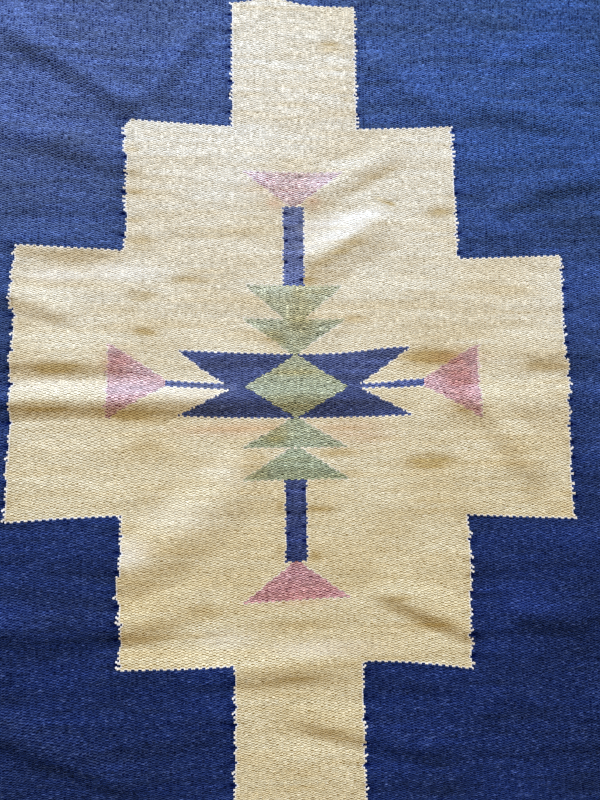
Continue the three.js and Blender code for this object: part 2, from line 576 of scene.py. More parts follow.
def weave_stems_and_steps(wool, u, v):
    """The chart with the upright row of motifs in it: arrow heads, stems and sage steps."""
    across = u - MOTIF_WARP
    for name, low, high, half_low, half_high in MOTIF_SPANS:
        share = np.clip((v - low) / (high - low), 0, 1)
        half = half_low + (half_high - half_low) * share
        if name == "stem":
            half = half + STEM_TEETH * np.where(across < 0, tooth("stem_left", v), tooth("stem_right", v))
        inside = (v >= low) & (v < high) & (np.abs(across) < half)
        wool = np.where(inside, WOOLS.index(name), wool)
    return wool


def weave_wings_and_arrows(wool, u, v):
    """The chart with the level row of motifs in it: wings, diamond, sticks and arrow heads."""
    up = np.abs(v - MOTIF_ROW)
    join_light_and_shade = u - DIAMOND_WARP
    out = np.abs(join_light_and_shade)
    above = v > MOTIF_ROW
    west = join_light_and_shade < 0
    diamond_tall = np.where(above, DIAMOND_ROWS[1], DIAMOND_ROWS[0])
    wing_tall = np.where(above, WING_ROWS[1], WING_ROWS[0])
    diamond = DIAMOND_HALF * (1 - up / diamond_tall)
    bow = np.where(above & west, UPPER_WEST_BOW, 1.0)
    wing = WING_WAIST + (WING_TIP - WING_WAIST) * (up / wing_tall) ** bow
    wool = np.where((up < wing_tall) & (out < wing), WOOLS.index("wing"), wool)
    wool = np.where(out < diamond, WOOLS.index("sage"), wool)
    at_waist = np.where(west, STICKS[-1][0], STICKS[1][0])
    at_arrow = np.where(west, STICKS[-1][1], STICKS[1][1])
    stick_share = (out - WING_WAIST) / (ARROW_POINT - WING_WAIST)
    stick_tall = at_waist + (at_arrow - at_waist) * stick_share
    stick = (up < stick_tall) & (out >= WING_WAIST) & (out < ARROW_POINT)
    wool = np.where(stick, WOOLS.index("stem"), wool)
    base = ARROW_BASE + np.where(west, tooth("arrow_left", v), tooth("arrow_right", v))
    arrow_share = (out - ARROW_POINT) / (ARROW_BASE - ARROW_POINT)
    arrow = up < at_arrow + (ARROW_ROWS - at_arrow) * arrow_share
    return np.where(arrow & (out >= ARROW_POINT) & (out < base), WOOLS.index("rose"), wool)


def chart(u, v):
    """The wool of the bead at warp u and row v, as an index into WOOLS."""
    wool = np.where(medallion(u, v), WOOLS.index("cream"), WOOLS.index("indigo"))
    wool = weave_stems_and_steps(wool, u, v)
    return weave_wings_and_arrows(wool, u, v)


def slit_places():
    """Where the slits of the upright joins lie on the even weave, and how hard they pull."""
    places = []
    for name, east in (("left", -1), ("right", 1)):
        for n in np.flatnonzero(JOINS[name][1]):
            v = n - BEAD_ROWS / 2 + 0.5
            steps = STEPS[east, 1 if v >= 0 else -1]
            half = next((width for width, row in steps if abs(v) < row), None)
            if half is not None:
                places.append((east * (half * WARP_PITCH + SLIT_ASIDE), v * BEAD_TALL, FIELD_PULL))
    for name, side in (("stem_left", -1), ("stem_right", 1)):
        join_a = (MOTIF_WARP + side * STEM_HALF) * WARP_PITCH
        for n in np.flatnonzero(JOINS[name][1]):
            v = n - BEAD_ROWS / 2 + 0.5
            if any(low < v < high for low, high in STEM_SLIT_ROWS):
                places.append((join_a - side * SLIT_ASIDE, v * BEAD_TALL, STEM_PULL))
    return places


def slit_depth(a, b):
    """0 to 1 where the two wefts of an upright join part and leave a dark slit."""
    depth = np.zeros(a.shape)
    for slit_a, slit_b, pull in slit_places():
        col = int(round(slit_a / WARP_PITCH * 2)) + WARP_ENDS
        row = int(round(slit_b / PICK)) + BEAD_ROWS
        cols = slice(max(0, col - NEAR_COLS), col + NEAR_COLS + 1)
        rows = slice(max(0, row - NEAR_ROWS), row + NEAR_ROWS + 1)
        off_a = a[rows, cols] - slit_a
        off_b = b[rows, cols] - slit_b
        parted = bell(off_a, SLIT_WIDE) * bell(off_b, SLIT_TALL)
        pulled_in = pull * bell(off_a, PULL_WIDE) * bell(off_b, PULL_TALL)
        open_here = random.uniform(*SLIT_OPEN) * np.maximum(parted, pulled_in)
        depth[rows, cols] = np.maximum(depth[rows, cols], open_here)
    return depth


def spots(table, x, y, streaks=()):
    """The strength of a table of spots, and of one of streaks along the creases."""
    total = np.zeros(x.shape)
    for spot_x, spot_y, reach_x, reach_y, strength in table:
        far = ((x - spot_x) / reach_x) ** 2 + ((y - spot_y) / reach_y) ** 2
        total = np.maximum(total, strength * np.exp(-(far**SPOT_EDGE)))
    for streak in streaks:
        total = np.maximum(total, ridge(streak, x, y))
    return total


# The woven face, as one grid with a column on each warp and in each valley

column = np.arange(2 * WARP_ENDS + 1)
row = np.arange(2 * BEAD_ROWS + 1)
even_a, even_b = np.meshgrid((column - WARP_ENDS) * WARP_PITCH / 2, (row - BEAD_ROWS) * PICK)
col_grid, row_grid = np.meshgrid(column, row)
warp_of_column = (col_grid - 1) // 2
on_warp = col_grid % 2 == 1
crown_here = on_warp & ((row_grid + warp_of_column) % 2 == 0)
gap_here = on_warp & ~crown_here

face_x, face_y = on_floor(even_a, even_b)
underside_z = lift(face_x, face_y)
slits = slit_depth(even_a, even_b)
to_side = HALF_WIDTH - np.abs(even_a)
to_end = HALF_LENGTH - np.abs(even_b)
inner = (to_side > OUTLINE_KEPT) & (to_end > OUTLINE_KEPT)
woven_x = face_x + BEAD_ASIDE * random.standard_normal(face_x.shape) * inner
woven_y = face_y + BEAD_ASIDE * random.standard_normal(face_x.shape) * inner

relief = np.where(crown_here, CROWN, np.where(gap_here, GAP, VALLEY))
relief = relief + random.standard_normal(relief.shape) * np.where(crown_here, CROWN_UNEVEN, GAP_UNEVEN)
relief = relief - SLIT_DEEP * slits
waves = sum(ridge(dent, face_x, face_y) for dent in DENTS) + hills(SWELLS, face_x, face_y)
form = underside_z + waves * rise(to_side, 0, EDGE_CALM) * rise(to_end, 0, EDGE_CALM)
face_z = form + CLOTH_THICKNESS - FACE_INSET + relief

# Tone of each bead, how full it stands, and what has settled on it or faded it

yarn_row = np.floor((row_grid + 0.5) / 2) * ROW_APART
yarn_streaks = hills(YARN_STREAKS, face_x, yarn_row)
bead_tone = random.standard_normal(relief.shape) * np.where(crown_here, CROWN_TONE, BESIDE_TONE)
tone = yarn_streaks + bead_tone + hills(BANDS, face_x, face_y)
cloud = hills(CLOUDS, face_x, face_y)
# the pile, less the slits' painted shade
pile = np.clip(PILE + PILE_UNEVEN * random.standard_normal(relief.shape), 0, 1) - SLIT_SHADE * slits
streaky = 1 + hills(STAIN_STREAKS, face_x, face_y)
slope_x = np.gradient(form, axis=1) / np.gradient(face_x, axis=1)
slope_y = np.gradient(form, axis=0) / np.gradient(face_y, axis=0)
# painted shade on the sides of folds that face away from the window, put in with the ochre stains
painted_fold_shade = rise(SHADED_SIDE_UPHILL[0] * slope_x + SHADED_SIDE_UPHILL[1] * slope_y, 0, FULL_SHADE_SLOPE)
stains_and_fold_shade = spots(OCHRE, face_x, face_y, CREASE_SHADE_STREAKS) + FOLD_SHADE_TINT * painted_fold_shade
ochre_and_fold_shade = np.clip(stains_and_fold_shade * streaky, 0, 1)
faded_rose = np.clip(spots(FADED_ROSE, face_x, face_y) * streaky, 0, 1)
# washed pale, and painted light on the lit flanks of folds
washed_and_painted_light = np.clip(spots(WASHED_AND_PAINTED_LIGHT, face_x, face_y, CREASE_LIGHT_STREAKS) * (1 + streaky) / 2, 0, 1)
# the window's sheen painted into the colour, together with sun fading
fade_and_painted_sheen = rise(face_y, SHEEN_FADE_FROM, SHEEN_FADE_TO) * (1 - EAST_LESS * rise(face_x, EAST_FROM, EAST_TO))
fade_and_painted_sheen = fade_and_painted_sheen + spots(SUNNED_AND_SHEENED, face_x, face_y)
eastward = np.clip((face_x - CLEAR_MIDDLE) / CLEAR_REACH, -1, 1)
clear = 0.5 + 0.5 * rise(face_y, CLEAR_FROM, CLEAR_TO) * eastward


def grid_normals(x, y, z):
    """Unit normals of the whole face, so that its areas meet with no seam in the shading."""
    points = np.stack([x, y, z], -1)
    by_col = np.gradient(points, axis=1)
    by_row = np.gradient(points, axis=0)
    normal = np.cross(by_col, by_row)
    return normal / np.linalg.norm(normal, axis=-1, keepdims=True)


face_points = np.stack([woven_x, woven_y, face_z], -1) * MM
face_normals = grid_normals(woven_x, woven_y, face_z)

# The bead that each quad of the face belongs to, and its wool

quad_col, quad_row = np.meshgrid(np.arange(2 * WARP_ENDS), np.arange(2 * BEAD_ROWS))
quad_warp = quad_col // 2
bead_row = quad_row + ((quad_row + quad_warp) & 1)
quad_u = (quad_col + 0.5) / 2 - WARP_ENDS / 2
quad_v = (bead_row - BEAD_ROWS) / 2
quad_wool = chart(quad_u, quad_v)

# The line where two wools meet, on the corners of the quads

framed = np.pad(quad_wool, 1, mode="edge")
around = np.stack([framed[:-1, :-1], framed[:-1, 1:], framed[1:, :-1], framed[1:, 1:]])
by_field = (around == WOOLS.index("indigo")).any(0)
by_dark_wool = np.isin(around, [WOOLS.index(wool) for wool in DARK_WOOLS]).any(0)
join = np.where(by_field, 1.0, np.where(by_dark_wool, DARK_JOIN, PALE_JOIN))
join = join * (around.max(0) != around.min(0))

FACE_ATTRIBUTES = {
    "warps": col_grid / 2,
    "beads": row_grid / 2,
    "tone": tone,
    "pile": pile,
    "cloud": cloud,
    "ochre_and_fold_shade": ochre_and_fold_shade,
    "faded_rose": faded_rose,
    "washed_and_painted_light": washed_and_painted_light,
    "fade_and_painted_sheen": fade_and_painted_sheen,
    "clear": clear,
    "join": join,
}


def mesh_piece(name, points, quads, uv, normals=None):
    """A smooth mesh of quads or triangles from numpy arrays, with its flat bake map."""
    mesh = bpy.data.meshes.new(name)
    sides = quads.shape[1]
    mesh.vertices.add(len(points))
    mesh.vertices.foreach_set("co", points.astype(np.float32).ravel())
    mesh.loops.add(quads.size)
    mesh.loops.foreach_set("vertex_index", quads.astype(np.int32).ravel())
    mesh.polygons.add(len(quads))
    mesh.polygons.foreach_set("loop_start", np.arange(0, quads.size, sides, dtype=np.int32))
    mesh.polygons.foreach_set("use_smooth", np.ones(len(quads), bool))
    mesh.update(calc_edges=True)
    bake_map = mesh.uv_layers.new(name="OFBake")
    bake_map.data.foreach_set("uv", uv[quads.ravel()].astype(np.float32).ravel())
    if normals is not None:
        mesh.normals_split_custom_set_from_vertices(normals)
    piece = bpy.data.objects.new(name, mesh)
    bpy.context.scene.collection.objects.link(piece)
    return piece


def add_attribute(piece, name, values):
    attribute = piece.data.attributes.new(name, "FLOAT", "POINT")
    attribute.data.foreach_set("value", values.astype(np.float32))


def flat_uv(points):
    low = points.min(0)
    span = points.max(0) - low
    return MAP_MARGIN + (1 - 2 * MAP_MARGIN) * (points - low) / span


def weave_area(name, inside, material):
    """One area of the face as its own piece. Each quad is cut along the diagonal that
    starts at its bead's crown, so every crown stands up as a point."""
    rows, cols = np.nonzero(inside)
    width = 2 * WARP_ENDS + 1
    corner = rows * width + cols
    right = corner + 1
    above = corner + width
    across = above + 1
    crown = crown_here.ravel()
    rising = (crown[corner] | crown[across])[:, None]
    first = np.where(rising, np.stack([corner, right, across], 1), np.stack([corner, right, above], 1))
    second = np.where(rising, np.stack([corner, across, above], 1), np.stack([right, across, above], 1))
    triangles = np.concatenate([first, second])
    used, local = np.unique(triangles, return_inverse=True)
    local = local.reshape(triangles.shape)
    points = face_points.reshape(-1, 3)[used]
    flat = np.stack([even_a.ravel()[used], even_b.ravel()[used]], 1)
    piece = mesh_piece(name, points, local, flat_uv(flat), face_normals.reshape(-1, 3)[used])
    for attribute, values in FACE_ATTRIBUTES.items():
        add_attribute(piece, attribute, values.ravel()[used])
    piece.data.materials.append(material)
    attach(piece, "root")
    return piece


# Materials


def add_node(tree, kind, settings=None, links=None):
    """A node with its settings, and its inputs set from values or linked from sockets."""
    node = tree.nodes.new(kind)
    for key, value in (settings or {}).items():
        setattr(node, key, value)
    for key, value in (links or {}).items():
        if isinstance(value, bpy.types.NodeSocket):
            tree.links.new(value, node.inputs[key])
        else:
            node.inputs[key].default_value = value
    return node


# The yarn's surface. Noise is in hills to the millimetre, along the weft, along the
# warp and upwards, or the same all ways.

FIBRES = (0.7, 3.6, 3.6)  # hairs about 1.4 mm long, drawn 0.28 mm thick, coarser than real ones
GLINTS = (0.26, 0.7, 0.26)  # patches of painted glint, about a bead wide and most of a bead tall
BEAD_NOISE = 0.26
FURROW_NOISE = 0.34
FURROW_WANDER = 0.6  # of a warp
BEAD_WANDER = 1.3  # of a bead
BEAD_FRAY = 0.46  # of a bead, from its middle: from here on it is all gap
FURROW_SOFT = 0.14  # of a warp, half the furrow's width
END_SOFT = 0.16  # over this the gap grows fainter towards the furrow
END_FAINT = 0.55  # down to this
LEAST_GLINT = 0.4
SHEENED_GLINT = 0.32  # more where the painted sheen and fading lie
HAIRY_DARKER = 1.1  # how far the hairs' own tone swings, of vary
HAIRY_LIGHTER = 0.5
CLOUD_SWING = 0.35  # how far the clouds swing it, of vary
EDGE_HIGHLIGHT = 0.68  # how white the painted highlight on the pale wool's edge is
WASHED_AND_PAINTED_WHITENESS = 0.6  # how white a place is where the washing and the painted light are full
FIBRE_BUMP = 0.3  # in mm
BEAD_BUMP = 0.4
GLOSS = 0.25  # on a full crown, and none in the gaps
EDGE_HIGHLIGHT_WHITE = "#f4f5fc"
WASHED_AND_PAINTED_WHITE = "#f8f4ee"
CLOUD_WARM = "#f6eddb"
CLOUD_WHITE = "#ffffff"
RUBBED_ROSE = "#edc3b4"


def crown_colour(tree, read, level, crown, faded_and_sheened, faded_and_sheened_clear, painted_glint):
    """The colour of a bead's top, paler towards the top of the cloth, where the window's sheen is painted
    in together with sun fading. Here and there a bead is painted with a pale highlight where fibres lie
    level."""
    sheen_bleached = add_node(tree, "ShaderNodeMix", {"data_type": "RGBA"},
                        {0: read["clear"], 6: linear(faded_and_sheened), 7: linear(faded_and_sheened_clear)})
    top = add_node(tree, "ShaderNodeMix", {"data_type": "RGBA"},
                   {0: read["fade_and_painted_sheen"], 6: linear(crown), 7: sheen_bleached.outputs[2]})
    most = add_node(tree, "ShaderNodeMath", {"operation": "MULTIPLY_ADD"},
                    {0: read["fade_and_painted_sheen"], 1: SHEENED_GLINT, 2: LEAST_GLINT})
    # a painted highlight: in patches the crown's colour goes to a pale glint colour
    painted_glint_share = add_node(tree, "ShaderNodeMapRange", {"interpolation_type": "SMOOTHSTEP"},
                       {"Value": level, "From Min": 0.5, "From Max": 0.72, "To Max": most.outputs[0]})
    top = add_node(tree, "ShaderNodeMix", {"data_type": "RGBA"},
                   {0: painted_glint_share.outputs[0], 6: top.outputs[2], 7: linear(painted_glint)})
    return top.outputs[2]


def bead_fullness(tree, read, place, crown_share, furrow):
    """Near 1 on the crown of a bead, and less in the gap above and below it and in the furrow between
    warps, where the colour goes to the gap's painted shade. Beads are one warp wide and two picks tall, in
    brick order, and their edges wander a little."""
    uneven = add_node(tree, "ShaderNodeTexNoise", {"noise_dimensions": "3D"},
                      {"Vector": place, "Scale": BEAD_NOISE / MM, "Detail": 2.0})
    wander = add_node(tree, "ShaderNodeTexNoise", {"noise_dimensions": "3D"},
                      {"Vector": place, "Scale": FURROW_NOISE / MM, "Detail": 1.0})
    across = add_node(tree, "ShaderNodeMath", {"operation": "MULTIPLY_ADD"},
                      {0: wander.outputs[0], 1: FURROW_WANDER, 2: read["warps"]})
    across = add_node(tree, "ShaderNodeMath", {"operation": "ADD"},
                      {0: across.outputs[0], 1: -FURROW_WANDER / 2})
    warp = add_node(tree, "ShaderNodeMath", {"operation": "FLOOR"}, {0: across.outputs[0]})
    every_other = add_node(tree, "ShaderNodeMath", {"operation": "MODULO"}, {0: warp.outputs[0], 1: 2.0})
    bead = add_node(tree, "ShaderNodeMath", {"operation": "MULTIPLY_ADD"},
                    {0: every_other.outputs[0], 1: 0.5, 2: read["beads"]})
    bead = add_node(tree, "ShaderNodeMath", {"operation": "MULTIPLY_ADD"},
                    {0: uneven.outputs[0], 1: BEAD_WANDER, 2: bead.outputs[0]})
    bead = add_node(tree, "ShaderNodeMath", {"operation": "ADD"}, {0: bead.outputs[0], 1: -BEAD_WANDER / 2})
    from_crown = add_node(tree, "ShaderNodeMath", {"operation": "PINGPONG"}, {0: bead.outputs[0], 1: 0.5})
    to_furrow = add_node(tree, "ShaderNodeMath", {"operation": "PINGPONG"}, {0: across.outputs[0], 1: 0.5})
    parting = add_node(tree, "ShaderNodeMapRange", {"interpolation_type": "SMOOTHSTEP"},
                       {"Value": from_crown.outputs[0], "From Min": crown_share, "From Max": BEAD_FRAY})
    on_bead = add_node(tree, "ShaderNodeMapRange", {"interpolation_type": "SMOOTHSTEP"},
                       {"Value": to_furrow.outputs[0], "From Min": 0.0, "From Max": END_SOFT,
                        "To Min": END_FAINT})
    parting = add_node(tree, "ShaderNodeMath", {"operation": "MULTIPLY"},
                       {0: parting.outputs[0], 1: on_bead.outputs[0]})
    between = add_node(tree, "ShaderNodeMapRange", {"interpolation_type": "SMOOTHSTEP"},
                       {"Value": to_furrow.outputs[0], "From Min": 0.0, "From Max": FURROW_SOFT,
                        "To Min": furrow, "To Max": 0.0})
    sunk = add_node(tree, "ShaderNodeMath", {"operation": "MAXIMUM"},
                    {0: parting.outputs[0], 1: between.outputs[0]})
    full = add_node(tree, "ShaderNodeMath", {"operation": "SUBTRACT", "use_clamp": True},
                    {0: read["pile"], 1: sunk.outputs[0]})
    return full.outputs[0]


def dyed_with_painted_join_light(tree, read, level, shade, vary, at_join):
    """The colour with the tone of the dye, of clouds in it and of the hairs. At a join dark wool is painted
    darker, as shade, and pale wool lighter, with a painted highlight along its edge."""
    hairy = add_node(tree, "ShaderNodeMapRange", {"clamp": False},
                     {"Value": level, "From Min": 0.3, "From Max": 0.7,
                      "To Min": 1 - HAIRY_DARKER * vary, "To Max": 1 + HAIRY_LIGHTER * vary})
    swing = add_node(tree, "ShaderNodeMath", {"operation": "MULTIPLY_ADD"},
                     {0: read["tone"], 1: vary, 2: 1.0})
    swing = add_node(tree, "ShaderNodeMath", {"operation": "MULTIPLY_ADD"},
                     {0: read["cloud"], 1: vary * CLOUD_SWING, 2: swing.outputs[0]})
    swing = add_node(tree, "ShaderNodeMath", {"operation": "MULTIPLY"},
                     {0: swing.outputs[0], 1: hairy.outputs[0]})
    # at a join: painted shade on dark wool, painted light on pale wool
    join_light_and_shade = add_node(tree, "ShaderNodeMath", {"operation": "MULTIPLY_ADD"},
                      {0: read["join"], 1: at_join - 1, 2: 1.0})
    swing = add_node(tree, "ShaderNodeMath", {"operation": "MULTIPLY"},
                     {0: swing.outputs[0], 1: join_light_and_shade.outputs[0]})
    toned = add_node(tree, "ShaderNodeMix", {"data_type": "RGBA", "blend_type": "MULTIPLY"},
                     {0: 1.0, 6: shade, 7: swing.outputs[0]})
    # a painted highlight along the pale wool's edge
    edge_highlight = add_node(tree, "ShaderNodeMath", {"operation": "MULTIPLY"},
                     {0: read["join"], 1: EDGE_HIGHLIGHT if at_join > 1 else 0.0})
    edged = add_node(tree, "ShaderNodeMix", {"data_type": "RGBA"},
                     {0: edge_highlight.outputs[0], 6: toned.outputs[2], 7: linear(EDGE_HIGHLIGHT_WHITE)})
    return edged.outputs[2]


def worn_with_painted_light(tree, read, shade, stains_and_painted_shading, soil_and_shade_tint):
    """The colour yellowed in soft clouds, then made whiter where washing and painted light lie, darker and
    yellow-brown where a stain and the painted shade of a fold lie, and rubbed rose.
    """
    yellowed = add_node(tree, "ShaderNodeMapRange", {},
                        {"Value": read["cloud"], "From Min": -0.6, "From Max": 0.6})
    tint = add_node(tree, "ShaderNodeMix", {"data_type": "RGBA"},
                    {0: yellowed.outputs[0], 6: linear(CLOUD_WARM), 7: linear(CLOUD_WHITE)})
    marked_and_lit = add_node(tree, "ShaderNodeMix", {"data_type": "RGBA", "blend_type": "MULTIPLY"},
                    {0: 1.0, 6: shade, 7: tint.outputs[2]})
    # washed pale, and painted light on the lit side of the folds
    washed_and_painted_share = add_node(tree, "ShaderNodeMath", {"operation": "MULTIPLY"},
                     {0: read["washed_and_painted_light"], 1: WASHED_AND_PAINTED_WHITENESS * stains_and_painted_shading})
    marked_and_lit = add_node(tree, "ShaderNodeMix", {"data_type": "RGBA"},
                    {0: washed_and_painted_share.outputs[0], 6: marked_and_lit.outputs[2], 7: linear(WASHED_AND_PAINTED_WHITE)})
    # yellow-brown stains, and painted shade on the folds' shaded side
    soil_and_fold_shade = add_node(tree, "ShaderNodeMath", {"operation": "MULTIPLY"}, {0: read["ochre_and_fold_shade"], 1: stains_and_painted_shading})
    marked_and_lit = add_node(tree, "ShaderNodeMix", {"data_type": "RGBA", "blend_type": "MULTIPLY"},
                    {0: soil_and_fold_shade.outputs[0], 6: marked_and_lit.outputs[2], 7: linear(soil_and_shade_tint)})
    rubbed = add_node(tree, "ShaderNodeMath", {"operation": "MULTIPLY"}, {0: read["faded_rose"], 1: stains_and_painted_shading})
    marked_and_lit = add_node(tree, "ShaderNodeMix", {"data_type": "RGBA", "blend_type": "MULTIPLY"},
                    {0: rubbed.outputs[0], 6: marked_and_lit.outputs[2], 7: linear(RUBBED_ROSE)})
    return marked_and_lit.outputs[2]


def handspun_wool(
    name, crown, faded_and_sheened, faded_and_sheened_clear, painted_glint, gap, faded_and_sheened_gap,
    crown_share, furrow, vary, at_join, stains_and_painted_shading, soil_and_shade_tint,
):
    """Handspun wool weft, matt and a little hairy. Each bead is painted paler on its crown, as a highlight
    where light catches the fibre ends, and sinks to the gap's painted deep shade between beads and in the
    furrow between warps.

    Towards the upper left the crown's colour goes to faded, and towards the upper right to
    faded_and_sheened_clear; the gap's colour goes to faded_and_sheened_gap. This is the window's sheen
    painted in, together with sun fading. crown_share is how far the pale crown reaches from a bead's
    middle, of the bead's height, and furrow how deep the furrow's painted shade is. The dye runs in streaks
    along the weft, and vary is how far its tone swings.
    Where two wools meet, the dark one is painted darker, as shade, and the pale one lighter with a painted
    highlight on its edge: at_join is how light it is there. Pale wool shows a stain and the painted shade
    and light of the folds, and dark wool hides them: stains is how much shows, and soil the colour that a
    yellow-brown stain and the painted fold shade are multiplied by."""
    material = bpy.data.materials.new(name)
    material.use_nodes = True
    tree = material.node_tree
    tree.nodes.clear()
    place = add_node(tree, "ShaderNodeTexCoord").outputs["Object"]
    read = {}
    for values in FACE_ATTRIBUTES:
        read[values] = add_node(tree, "ShaderNodeAttribute", {"attribute_name": values}).outputs["Fac"]
    stretched = add_node(tree, "ShaderNodeVectorMath", {"operation": "MULTIPLY"},
                         {0: place, 1: [per_mm / MM for per_mm in FIBRES]})
    fibre = add_node(tree, "ShaderNodeTexNoise", {"noise_dimensions": "3D"},
                     {"Vector": stretched.outputs[0], "Scale": 1.0, "Detail": 3.0, "Roughness": 0.65})
    bead_sized = add_node(tree, "ShaderNodeVectorMath", {"operation": "MULTIPLY"},
                          {0: place, 1: [per_mm / MM for per_mm in GLINTS]})
    level = add_node(tree, "ShaderNodeTexNoise", {"noise_dimensions": "3D"},
                     {"Vector": bead_sized.outputs[0], "Scale": 1.0, "Detail": 2.0, "Roughness": 0.6})
    top = crown_colour(tree, read, level.outputs[0], crown, faded_and_sheened, faded_and_sheened_clear, painted_glint)
    full = bead_fullness(tree, read, place, crown_share, furrow)
    # the gap's colour takes the painted sheen too
    under = add_node(tree, "ShaderNodeMix", {"data_type": "RGBA"},
                     {0: read["fade_and_painted_sheen"], 6: linear(gap), 7: linear(faded_and_sheened_gap)})
    depth = add_node(tree, "ShaderNodeMix", {"data_type": "RGBA"},
                     {0: full, 6: under.outputs[2], 7: top})
    shade = dyed_with_painted_join_light(tree, read, level.outputs[0], depth.outputs[2], vary, at_join)
    shade = worn_with_painted_light(tree, read, shade, stains_and_painted_shading, soil_and_shade_tint)
    raised = add_node(tree, "ShaderNodeBump", {},
                      {"Height": fibre.outputs[0], "Strength": 0.5, "Distance": FIBRE_BUMP * MM})
    raised = add_node(tree, "ShaderNodeBump", {},
                      {"Height": full, "Strength": 0.5, "Distance": BEAD_BUMP * MM,
                       "Normal": raised.outputs[0]})
    gloss = add_node(tree, "ShaderNodeMath", {"operation": "MULTIPLY"}, {0: full, 1: GLOSS})
    surface = add_node(tree, "ShaderNodeBsdfPrincipled", {},
                       {"Base Color": shade, "Normal": raised.outputs[0], "Roughness": 0.65,
                        "IOR": 1.5, "Specular IOR Level": gloss.outputs[0]})
    output = add_node(tree, "ShaderNodeOutputMaterial")
    tree.links.new(surface.outputs[0], output.inputs[0])
    return material


# the yellow-brown of a stain, which the painted fold shade takes too
SOIL_AND_SHADE_TINT = "#dac9a0"
SOIL_AND_SHADE_TINT_ON_SAGE = "#f0dcb0"
WOOL_COLUMNS = (
    "name", "crown", "faded_and_sheened", "faded_and_sheened_clear", "painted_glint", "gap", "faded_and_sheened_gap",
    "crown_share", "furrow", "vary", "at_join", "stains_and_painted_shading", "soil_and_shade_tint",
)
# Each row: the crown's colour, its copies with the painted sheen and fading at the upper left and upper
# right, a painted glint, the gap's colour as painted shade and its copy with the sheen, then the shares.
WOOL_ROWS = {
    "indigo": ("indigo handspun wool weft",
               "#24396e", "#6278ab", "#4d77bc", "#6273a0", "#070f3a", "#0c1648",
               0.05, 0.22, 0.42, 0.6, 0.0, SOIL_AND_SHADE_TINT),
    "cream": ("undyed cream handspun wool weft",
              "#e8dab0", "#ede5d2", "#ede5d2", "#fff8e4", "#866a30", "#948a72",
              0.22, 0.34, 0.1, 1.06, 1.0, SOIL_AND_SHADE_TINT),
    "stem": ("violet indigo handspun wool weft",
             "#3b4b80", "#a3afdc", "#a3afdc", "#8f99c4", "#0a1040", "#182054",
             0.1, 0.25, 0.36, 0.75, 0.2, SOIL_AND_SHADE_TINT),
    "wing": ("deep violet indigo handspun wool weft",
             "#303f6e", "#8c97be", "#8c97be", "#8590b8", "#0a1040", "#182054",
             0.1, 0.25, 0.36, 0.75, 0.05, SOIL_AND_SHADE_TINT),
    "sage": ("sage green handspun wool weft",
             "#b4bf97", "#f9f1d4", "#f9f1d4", "#e4e6cc", "#2c300c", "#3e421c",
             0.17, 0.5, 0.3, 1.0, 1.0, SOIL_AND_SHADE_TINT_ON_SAGE),
    "rose": ("rose handspun wool weft",
             "#dda5a0", "#fffcfa", "#fffcfa", "#f6e0da", "#601c2a", "#7e3246",
             0.17, 0.4, 0.36, 1.0, 0.7, SOIL_AND_SHADE_TINT),
}
WOOL_LOOKS = {wool: handspun_wool(**dict(zip(WOOL_COLUMNS, row))) for wool, row in WOOL_ROWS.items()}

FIELD_END_ROW = 180  # past this row the field is a piece of its own
field_end = np.abs(quad_v) >= FIELD_END_ROW
everywhere = np.ones(quad_wool.shape, bool)
AREAS = (
    # name of the piece, wool, where
    ("indigo_field_left", "indigo", (quad_u < 0) & ~field_end),
    ("indigo_field_right", "indigo", (quad_u > 0) & ~field_end),
    ("indigo_field_ends", "indigo", field_end),
    ("cream_medallion_upper", "cream", quad_v >= 0),
    ("cream_medallion_lower", "cream", quad_v < 0),
    ("violet_stems_and_sticks", "stem", everywhere),
    ("deep_violet_wings", "wing", everywhere),
    ("sage_steps_and_diamond", "sage", everywhere),
    ("rose_arrow_heads", "rose", everywhere),
)
face_pieces = [
    weave_area(name, (quad_wool == WOOLS.index(wool)) & where, WOOL_LOOKS[wool])
    for name, wool, where in AREAS
]


# The underside and the rounded edge. A kilim is the same on both faces, so the
# underside has one facet for each bead, in the colours of the same chart.


def boundary_indices(rows, cols):
    """The grid's outer points, once round, anticlockwise from the lower left corner."""
    low = [(0, c) for c in range(cols)]
    right = [(r, cols - 1) for r in range(1, rows)]
    high = [(rows - 1, c) for c in range(cols - 2, -1, -1)]
    left = [(r, 0) for r in range(rows - 2, 0, -1)]
    return np.array(low + right + high + left)


def straightened(values, between):
    """Values round the edge, with each point between two of the underside's moved halfway."""
    return np.where(between, (np.roll(values, 1) + np.roll(values, -1)) / 2, values)


def rim_rings(edge_rows, edge_cols):
    """The rings of the rounded edge from the face down, and their places on the bake map."""
    top = np.stack([face_x, face_y, face_z], -1)[edge_rows, edge_cols]
    between = (edge_rows % 2 == 1) | (edge_cols % 2 == 1)
    below = (top[:, 0], top[:, 1], underside_z[edge_rows, edge_cols])
    bottom = np.stack([straightened(values, between) for values in below], -1)
    out_x = np.where(edge_cols == 0, -1, np.where(edge_cols == 2 * WARP_ENDS, 1, 0))
    out_y = np.where(edge_rows == 0, -1, np.where(edge_rows == 2 * BEAD_ROWS, 1, 0))
    flat_a = even_a[edge_rows, edge_cols]
    flat_b = even_b[edge_rows, edge_cols]
    rings = []
    flat_rings = []
    for ring in range(RIM_RINGS + 1):
        share = ring / RIM_RINGS
        bulge = RIM_BULGE * math.sin(math.pi * share)
        points = top * (1 - share) + bottom * share
        points[:, 0] += out_x * bulge
        points[:, 1] += out_y * bulge
        rings.append(points)
        away = (RIM_RINGS - ring) * RIM_MAP_STEP + RIM_MAP_GAP
        flat_rings.append(np.stack([flat_a + out_x * away, flat_b + out_y * away], 1))
    return rings, flat_rings


